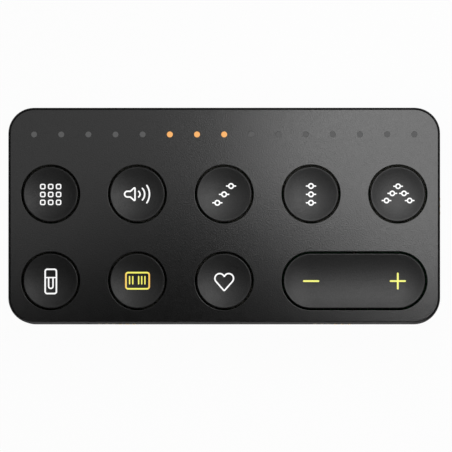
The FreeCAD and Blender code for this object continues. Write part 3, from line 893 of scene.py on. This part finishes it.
def run(start, end):
    """Straight run of points about 0.3 mm apart, so that the line can follow the dish."""
    pitch = 0.3
    start = Vector(start)
    end = Vector(end)
    steps = max(1, round((end - start).length / pitch))
    return [tuple(start.lerp(end, n / steps)) for n in range(steps + 1)]


def path(corners, radius, closed=True):
    """Path through the corners with each turn rounded."""
    steps = 6
    spots = [Vector(c) for c in corners]
    count = len(spots)
    found = []
    for n, spot in enumerate(spots):
        if not closed and n in (0, count - 1):
            found.append([tuple(spot)])
            continue
        back = (spots[n - 1] - spot).normalized()
        ahead = (spots[(n + 1) % count] - spot).normalized()
        half = acos(max(-1, min(1, back.dot(ahead)))) / 2
        reach = radius / max(sin(half), 0.01) * cos(half)
        middle = spot + (back + ahead).normalized() * (radius / sin(half))
        first = (spot + back * reach - middle).normalized()
        last = (spot + ahead * reach - middle).normalized()
        turn = [first.slerp(last, step / steps) for step in range(steps + 1)]
        found.append([tuple(middle + way * radius) for way in turn])
    points = []
    for n, part in enumerate(found):
        points += part
        if closed or n < count - 1:
            points += run(part[-1], found[(n + 1) % count][0])[1:-1]
    return points


def rounded_box_path(x, y, length, depth, corner):
    left = x - length / 2
    right = x + length / 2
    front = y - depth / 2
    back = y + depth / 2
    return path([(left, front), (right, front), (right, back), (left, back)], corner)


def note(shape, x, y, size):
    """Ring with a short dash on each side."""
    shape.sweep(arc(x, y, 0.50 * size, 0, 345, 23), 0.32 * size, closed=True)
    for side in (-1, 1):
        shape.sweep([(x + side * reach * size, y) for reach in (0.64, 0.81, 0.99)], 0.29 * size)


def grid_sign():
    square = Shape()
    square.sweep(rounded_box_path(0, 0, 0.95, 0.95, 0.26), 0.26, closed=True)
    pitch = 1.72
    return repeated(square.mesh("square"), (-pitch, -1.78, 0), 3, pitch, SIGN_WHITE, 3, pitch)


def speaker_sign(shape):
    outline = arc(-2.17, 0.01, 0.62, 270, 90, 14) + run((-1.80, 0.63), (-1.53, 0.63))
    outline += path([(-1.53, 0.63), (-0.53, 1.55), (-0.53, -1.53), (-1.53, -0.61)], 0.14, closed=False)
    outline += run((-1.53, -0.61), (-1.80, -0.61))
    shape.sweep(outline, SIGN_LINE, closed=True)
    for x, radius, half in ((-0.22, 0.78, 51), (-0.30, 1.87, 42), (-0.74, 3.36, 34)):
        shape.sweep(arc(x, 0.01, radius, -half, half, 14), SIGN_LINE)


def pedal_sign(shape):
    shape.sweep(rounded_box_path(0.03, -0.10, 2.44, 5.28, 0.45), 0.335, closed=True)
    shape.sweep(run((-1.01, 0.74), (1.07, 0.74)), 0.27)
    left_leg = run((-0.45, 0.60), (-0.45, -1.06))
    right_leg = run((0.51, -1.06), (0.51, 0.60))
    shape.sweep(left_leg + arc(0.03, -1.14, 0.48, 180, 360, 12) + right_leg, 0.31)


def keyboard_sign(shape):
    shape.sweep(rounded_box_path(0.03, 0.05, 5.08, 3.52, 0.48), 0.35, closed=True)
    for x in (-1.71, -1.02, 0.26, 0.93, 1.63):
        shape.sweep(run((x, 0.95), (x, -0.63)), 0.28)


def heart_sign(shape):
    lobe_x = 0.98
    lobe_y = 0.55
    lobe = 1.05
    tip = Vector((0.0, -2.16))
    gap = Vector((lobe_x, lobe_y)) - tip
    lean = atan2(-gap.y, -gap.x) + acos(lobe / gap.length)
    notch = degrees(atan2(sqrt(lobe**2 - lobe_x**2), -lobe_x))
    right = arc(lobe_x, lobe_y, lobe, notch, degrees(lean), 22)
    side = run(right[-1], (0.12, -2.02))
    half = right + side[1:]
    left = [(-x, y) for x, y in reversed(half)]
    shape.sweep(half + [(0.0, -2.10)] + left, 0.32, closed=True)


def minus_sign(shape):
    shape.sweep(run((-1.55, -0.03), (1.61, -0.03)), 0.40)


def plus_sign(shape):
    shape.sweep(run((-1.58, -0.03), (1.58, -0.03)), 0.39)
    for side in (-1, 1):
        shape.sweep(run((0, side * 0.20 - 0.03), (0, side * 1.63 - 0.03)), 0.40)


def notes_sign(places, size=1.0):
    def draw(shape):
        for x, y in places:
            note(shape, x, y, size)
    return draw


RISING = [(1.49, 1.77), (-0.02, -0.04), (-1.49, -1.88)]
STACKED = [(0, 1.77), (0, -0.04), (0, -1.88)]
PEAKED = [(0.06, 1.71), (-1.19, 0.17), (1.35, 0.17), (-2.46, -1.40), (2.58, -1.40)]
SIGNS = {
    "speaker": (speaker_sign, SIGN_WHITE),
    "rising_notes": (notes_sign(RISING), SIGN_WHITE),
    "stacked_notes": (notes_sign(STACKED), SIGN_WHITE),
    "peaked_notes": (notes_sign(PEAKED, 0.95), SIGN_WHITE),
    "pedal": (pedal_sign, SIGN_WHITE),
    "keyboard": (keyboard_sign, SIGN_KEYBOARD),
    "heart": (heart_sign, SIGN_WHITE),
    "minus": (minus_sign, SIGN_YELLOW),
    "plus": (plus_sign, SIGN_YELLOW),
}


def lay_on_dish(mesh, x, y, open_side=0):
    """Moves a flat sign onto its cap, following the dish, which is a trough towards its open side."""
    for vert in mesh.vertices:
        beyond = 0.0 if vert.co.x * open_side > 0 else vert.co.x
        height = dish_height(hypot(beyond, vert.co.y) / MM)
        vert.co = Vector((vert.co.x + x * MM, vert.co.y + y * MM, vert.co.z + height * MM))
    return mesh


place("sign_grid", lay_on_dish(grid_sign(), *KEY_PLACE["grid"]), SIGN_WHITE, "grid_button", "milky_plastic")
for key, (draw, material) in SIGNS.items():
    lines = Shape()
    draw(lines)
    spot = {**KEY_PLACE, **ROCKER_PLACE}[key]
    lines = lay_on_dish(lines.mesh("sign_" + key), *spot, {"minus": 1, "plus": -1}.get(key, 0))
    place("sign_" + key, lines, material, body_of(key), "milky_plastic")


# Light guide

def pip():
    """One light pip, from inside the bar up to its domed end."""
    profile = [(0.0, PLATE_UNDERSIDE - 0.05), (0.0, TOP - 0.05), (-0.02, TOP - 0.02), (-0.06, TOP - 0.005),
               (-0.30, TOP - 0.002), (-0.58, TOP)]
    return solid("pip", round_outline(0, 0, PIP_RADIUS, 28), profile)


def pips(first, count, material):
    """Pips of the light row from the given one on."""
    x = INDICATOR_FIRST + first * INDICATOR_PITCH
    return repeated(pip(), (x, INDICATOR_Y, 0), count, INDICATOR_PITCH, material)


def light_bar():
    ease = 0.1
    profile = [(-ease, BAR_BOTTOM), (0, BAR_BOTTOM + ease),
               (0, PLATE_UNDERSIDE - ease), (-ease, PLATE_UNDERSIDE)]
    mesh = solid("bar", box_outline(0, INDICATOR_Y, 86.0, 3.0, 0.2, 3), profile)
    mesh.materials.append(CLEAR_BAR)
    return mesh


after_lit = INDICATOR_LIT[-1] + 1
light_row = [
    light_bar(),
    pips(0, INDICATOR_LIT[0], UNLIT_PIP),
    pips(INDICATOR_LIT[0], len(INDICATOR_LIT), LIT_PIP),
    pips(after_lit, INDICATOR_COUNT - after_lit, UNLIT_PIP),
]
place("light_bar", joined("light_bar", light_row), None, "case", "clear_plastic", ["indicator_light_guide"])


# Soft, clear and electronic pieces inside

def dome(x, y):
    """Silicone dome: flange, thin skirt, pad with a light way through it, and the contact ring inside."""
    half = 4.2
    section = [
        (1.4, 16.72), (1.48, 16.8), (2.50, 16.8), (2.66, 16.74), (2.7, 16.58), (2.7, 15.95), (2.74, 15.80),
        (3.05, 15.28), (3.42, 14.62), (3.62, 14.36), (3.85, 14.3), (half - 0.12, 14.3), (half - 0.03, 14.26),
        (half, 14.16), (half, BOARD_TOP + 0.08), (half - 0.06, BOARD_TOP), (3.22, BOARD_TOP),
        (3.2, BOARD_TOP + 0.06), (2.36, 15.72), (2.26, 15.8), (2.04, 15.8), (2.0, 15.74), (2.0, 14.53),
        (1.94, 14.45), (1.46, 14.45), (1.4, 14.53),
    ]
    profile = [(reach - half, z) for reach, z in section]
    return solid("dome", box_outline(x, y, 2 * half, 2 * half, 1.0, 5, 0.25), profile, hoop=True)


def spreader(x, y):
    """Milky square under a sign, which spreads the light from below."""
    top = 18.0
    profile = [(-0.1, CAP_BOTTOM), (-0.03, CAP_BOTTOM + 0.03), (0, CAP_BOTTOM + 0.1),
               (0, top - 0.1), (-0.03, top - 0.03), (-0.1, top)]
    return solid("spreader", box_outline(x, y, 7.0, 7.0, 0.3, 4), profile)


for key, (x, y) in {**KEY_PLACE, **ROCKER_PLACE}.items():
    soft = place(
        "silicone_dome_" + key, dome(x, y), SILICONE.material, "case", "dome_silicone", ["dome_" + key])
    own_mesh(soft)
    place("light_spreader_" + key, spreader(x, y), MILKY.material, body_of(key), "milky_plastic",
          ["diffuser_" + key])


def led(length, depth, height, cup):
    """Light-emitting package: rounded body with a shallow cup of phosphor in its top."""
    shape = Shape()
    top = BOARD_TOP + height
    profile = [(0, BOARD_TOP), (0, top - 0.06), (-0.02, top - 0.02), (-0.06, top)]
    rings = shape.stack(box_outline(0, 0, length, depth, 0.1, 3), profile)
    cups = shape.stack(box_outline(0, 0, *cup, 0.22, 4), [(0, top), (-0.08, top - 0.16)])
    shape.close(rings, cups)
    return shape.mesh("led")


first_x, first_y = KEY_PLACE["pedal"]
key_pitch = KEY_PLACE["keyboard"][0] - first_x
key_light = led(length=2.0, depth=2.0, height=0.7, cup=(1.5, 1.5))
lights = repeated(key_light, (first_x, first_y, 0), 5, key_pitch, PACKAGE.material, 2, key_pitch)
place("key_lights", lights, PACKAGE.material, "case", "led_package", ["key_leds"])
small_light = led(length=1.6, depth=0.8, height=0.6, cup=(0.9, 0.5))
first = (INDICATOR_FIRST, INDICATOR_Y, 0)
lights = repeated(small_light, first, INDICATOR_COUNT, INDICATOR_PITCH, PACKAGE.material)
place("indicator_lights", lights, PACKAGE.material, "case", "led_package", ["indicator_leds"])


def screw():
    """Pan-head screw that cuts its own thread, driven from below by a cross recess."""
    pitch = 0.62
    core = 0.80
    ridge = 0.19
    shank = 0.12
    thread_start = 0.9
    run_in = 0.3
    tip_share = 0.55
    tip_length = 0.9
    sides = 28
    low = BOARD_BOTTOM - 1.3
    tip = BOARD_TOP + 3.0
    shape = Shape()
    profile = [(-1.0, low), (-0.62, low + 0.06), (-0.28, low + 0.24), (-0.07, low + 0.52), (0.0, low + 0.85),
               (0.0, BOARD_BOTTOM - 0.06), (-0.06, BOARD_BOTTOM)]
    head = shape.stack(round_outline(0, 0, SCREW_HEAD, 48), profile)
    shape.lid(head[0])
    rings = []
    steps = round((tip - BOARD_BOTTOM) / (pitch / 8))
    for step in range(steps + 1):
        z = BOARD_BOTTOM + (tip - BOARD_BOTTOM) * step / steps
        thread = min(1.0, max(0.0, (z - BOARD_BOTTOM - thread_start) / run_in))
        taper = min(1.0, tip_share + (tip - z) / tip_length)
        ring = []
        for n, (px, py) in enumerate(circle(1.0, sides)):
            turn = (z / pitch - n / sides) % 1.0
            crest = max(0.0, 1 - abs(turn - 0.5) / 0.32)
            radius = (core + ridge * crest * thread + shank * (1 - thread)) * taper
            ring.append((radius * px, radius * py))
        rings.append(shape.ring(ring, z))
    shape.skin(rings, lids=False)
    shape.lid(rings[-1])
    shape.fill(head[-1], rings[0])
    mesh = shape.mesh("screw")
    for length, depth in ((2.1, 0.5), (0.5, 2.1)):
        outline = box_outline(0, 0, length, depth, 0.08, 2)
        mesh = cut(mesh, solid("recess", outline, [(0, low - 0.2), (-0.12, low + 0.75)]))
    return smoothed(mesh, "screw")


screw_x = node_box("board_screws")[1].x - SCREW_HEAD
screw_y = node_middle("board_screws")[1]
screws = repeated(screw(), (-screw_x, screw_y, 0), 2, 2 * screw_x, STEEL.material)
place("screws", screws, STEEL.material, "case", "screw_steel", ["board_screws"])


def plan_of(node, corner, arc):
    """Outline of a CAD node's box in plan, with rounded corners."""
    low, high = node_box(node)
    return box_outline(*node_middle(node), high.x - low.x, high.y - low.y, corner, arc)


def chip(node, leads):
    """Moulded chip under the board, with a dimple by its first lead and leads along two sides."""
    low, high = node_box(node)
    shape = Shape()
    profile = [(0, high.z), (0, low.z + 0.06), (-0.02, low.z + 0.02), (-0.06, low.z)]
    walls = shape.stack(plan_of(node, 0.08, 2), profile)
    mark = round_outline(low.x + 0.7, low.y + 0.7, 0.28, 20)
    dimple = shape.stack(mark, [(0, low.z), (-0.08, low.z + 0.05)])
    shape.close(walls, dimple)
    body = shape.mesh(node)
    body.materials.append(EPOXY.material)
    lead = solid("lead", box_outline(0, 0, 0.22, 0.08, 0.02, 1), [(0, high.z - 0.28), (0, high.z - 0.01)])
    inset = 0.4
    proud = 0.02
    pitch = (high.x - low.x - 2 * inset) / (leads - 1)
    first = (low.x + inset, low.y - proud, 0)
    across = high.y - low.y + 2 * proud
    row = repeated(lead, first, leads, pitch, GOLD.material, 2, across)
    return joined(node, [body, row])


for node, leads in (("controller_chip", 12), ("memory_chip", 8), ("power_chip", 4)):
    place(node + "_body", chip(node, leads), None, "case", "chip_plastic", [node])


def inductor():
    """Shielded coil: square ferrite with eased edges and a round wound core set into its face."""
    low, high = node_box("power_inductor")
    shape = Shape()
    body = [(0, high.z), (0, low.z + 0.15), (-0.05, low.z + 0.04), (-0.15, low.z)]
    groove = [
        (0, low.z), (0, low.z + 0.18), (-0.15, low.z + 0.2), (-0.2, low.z + 0.05), (-0.32, low.z + 0.02)]
    walls = shape.stack(plan_of("power_inductor", 0.5, 4), body)
    core = shape.stack(round_outline(*node_middle("power_inductor"), 1.45, 40), groove)
    shape.close(walls, core)
    return shape.mesh("inductor")


place("coil_body", inductor(), EPOXY.material, "case", "chip_plastic", ["power_inductor"])


def crystal():
    """Crystal in a drawn metal can: flat flange and a lid with round corners."""
    low, high = node_box("clock_crystal")
    profile = [(0, high.z), (0, high.z - 0.16), (-0.03, high.z - 0.2), (-0.16, high.z - 0.22),
               (-0.2, high.z - 0.28), (-0.2, low.z + 0.1), (-0.23, low.z + 0.03), (-0.3, low.z)]
    return solid("crystal", plan_of("clock_crystal", 0.3, 4), profile)


place("crystal_can", crystal(), CAN.material, "case", "crystal_can", ["clock_crystal"])


def place_softened(name, node, width, material, body, slot, steps=2):
    """Piece in the shape of a CAD node, with its edges eased."""
    shape = Shape(node)
    shape.bevel(lambda e: len(e.link_faces) == 2 and e.calc_face_angle(0) > radians(40), width, steps)
    place(name, shape.mesh(node), material, body, slot, [node])


place_softened("light_mask", "indicator_light_mask", 0.06, MASK, "case", "mask_plastic")
place_softened("magnets", "dock_magnets", 0.16, NICKEL.material, "case", "magnet_nickel", 3)
place_softened("contact_pads", "dock_pads", 0.07, GOLD.material, "case", "contact_gold")
for dock in DOCKS:
    place_softened("insert_" + dock, "dock_insert_" + dock, 0.06, INSERT, "case", "case_plastic")
    place_softened(
        "blades_row_" + dock, "dock_blades_" + dock, 0.1, GOLD.material, "blades_" + dock, "contact_gold", 3)

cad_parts["main_board"].material_slots[0].material = LAMINATE.material


def rubber_pad():
    """Foot pad bonded in its seat, with a rounded edge that stands on the desk."""
    profile = [(0, node_box("base_pad")[1].z), (0, 0.32), (-0.04, 0.16), (-0.13, 0.05), (-0.3, 0)]
    return solid("pad", plan_of("base_pad", 3.0, 10), profile)


place("foot_pad", rubber_pad(), RUBBER.material, "case", "pad_rubber", ["base_pad"])


# Stage

def card(name, corner, turn, width, depth, height, radiance):
    """Soft light box over the object; corner is its near left corner in plan, turn its angle in degrees."""
    light = bpy.data.lights.new(name, "AREA")
    light.shape = "RECTANGLE"
    light.size = width * MM
    light.size_y = depth * MM
    light.energy = radiance * pi * light.size * light.size_y
    box = bpy.data.objects.new(name, light)
    along = Vector((cos(radians(turn)), sin(radians(turn)), 0))
    across = Vector((-along.y, along.x, 0))
    box.location = (Vector((*corner, height)) + along * width / 2 + across * depth / 2) * MM
    box.rotation_euler = (0, 0, radians(turn))
    box.visible_camera = False
    bpy.context.scene.collection.objects.link(box)
    return box


CARD_HEIGHT = 100.0
WIDE_TURN = 28.1
WIDE_REACH = 73.4
WIDE_EDGE_Y = 11.5
wide_corner = (-WIDE_REACH * cos(radians(WIDE_TURN)), WIDE_EDGE_Y - WIDE_REACH * sin(radians(WIDE_TURN)))
card("wide_card", corner=wide_corner, turn=WIDE_TURN, width=143, depth=64, height=CARD_HEIGHT, radiance=0.715)
card("bright_card", corner=(0.65, 10.1), turn=-34.5, width=65, depth=74, height=CARD_HEIGHT - 0.5,
     radiance=3.2)
card("back_card", corner=(9.0, 18.0), turn=0, width=16, depth=42, height=CARD_HEIGHT - 1, radiance=0.75)
# The front card stands low before the box and leans towards it. It lights the bevel along the front edge.
FRONT_LEAN = 72.0
front_card = card("front_card", corner=(-130, -210), turn=0, width=260, depth=40, height=82, radiance=1.5)
front_card.rotation_euler.x = radians(FRONT_LEAN)


def studio():
    """Dim room: dark overhead, where the cards hang, and softly lit towards the horizon and below it."""
    world = bpy.data.worlds.new("studio")
    world.use_nodes = True
    tree = world.node_tree
    way = add_node(tree, "ShaderNodeTexCoord")
    split = add_node(tree, "ShaderNodeSeparateXYZ", Vector=way.outputs["Generated"])
    steepness = add_node(tree, "ShaderNodeMath", "ABSOLUTE", Value=split.outputs["Z"])
    walls = add_node(tree, "ShaderNodeValToRGB", Fac=steepness.outputs[0])
    low, high = walls.color_ramp.elements
    low.position = 0.30
    low.color = (0.06, 0.06, 0.06, 1)
    high.position = 0.65
    high.color = (0.003, 0.003, 0.003, 1)
    tree.links.new(walls.outputs["Color"], tree.nodes["Background"].inputs["Color"])
    return world


bpy.context.scene.world = studio()


def floor_finish():
    """White paper, lit by the cards. The camera and reflections see it white but for a faint shadow."""
    material = bpy.data.materials.new("floor_paper")
    material.use_nodes = True
    tree = material.node_tree
    tree.nodes.clear()
    link = tree.links.new
    rays = add_node(tree, "ShaderNodeLightPath").outputs
    seen = add_node(tree, "ShaderNodeMath", "MAXIMUM", Value=rays["Is Camera Ray"])
    link(rays["Is Glossy Ray"], seen.inputs[1])
    seen_too = add_node(tree, "ShaderNodeMath", "MAXIMUM", Value=seen.outputs[0])
    link(rays["Is Transmission Ray"], seen_too.inputs[1])
    share = add_node(tree, "ShaderNodeMath", "MULTIPLY", Value=seen_too.outputs[0])
    share.inputs[1].default_value = 0.97
    paper = add_node(tree, "ShaderNodeBsdfDiffuse", Color=(0.9, 0.9, 0.9, 1))
    white = add_node(tree, "ShaderNodeEmission", Strength=1.0)
    mixed = add_node(tree, "ShaderNodeMixShader", Fac=share.outputs[0])
    side = add_node(tree, "ShaderNodeNewGeometry")
    nothing = add_node(tree, "ShaderNodeBsdfTransparent")
    one_sided = add_node(tree, "ShaderNodeMixShader", Fac=side.outputs["Backfacing"])
    for mix, first, second in ((mixed, paper, white), (one_sided, mixed, nothing)):
        link(first.outputs[0], mix.inputs[1])
        link(second.outputs[0], mix.inputs[2])
    add_node(tree, "ShaderNodeOutputMaterial", Surface=one_sided.outputs[0])
    return material


def floor():
    mesh = bpy.data.meshes.new("floor")
    reach = 4.0
    corners = [(-reach, -reach, 0), (reach, -reach, 0), (reach, reach, 0), (-reach, reach, 0)]
    mesh.from_pydata(corners, [], [(0, 1, 2, 3)])
    mesh.materials.append(floor_finish())
    plane = bpy.data.objects.new("floor", mesh)
    bpy.context.scene.collection.objects.link(plane)


floor()

# The camera looks down from far above, leaning a little to the front and the right.
VIEW_WIDTH = 98.40
LENS = 1000.0
SENSOR = 36.0
LEAN_FRONT = 0.98
LEAN_RIGHT = 0.6
AIM = Vector((0.40, -2.25, TOP))
camera_data = bpy.data.cameras.new("camera")
camera_data.lens = LENS
camera_data.sensor_width = SENSOR
camera_data.clip_end = 20.0
camera = bpy.data.objects.new("camera", camera_data)
bpy.context.scene.collection.objects.link(camera)
toward = Vector((sin(radians(LEAN_RIGHT)), -sin(radians(LEAN_FRONT)), 1)).normalized()
camera.location = AIM * MM + toward * (VIEW_WIDTH * MM * LENS / SENSOR)
across = Vector((0, 1, 0)).cross(toward).normalized()
camera.rotation_euler = Matrix((across, toward.cross(across), toward)).transposed().to_euler()
bpy.context.scene.camera = camera
bpy.context.scene.view_settings.view_transform = "Standard"
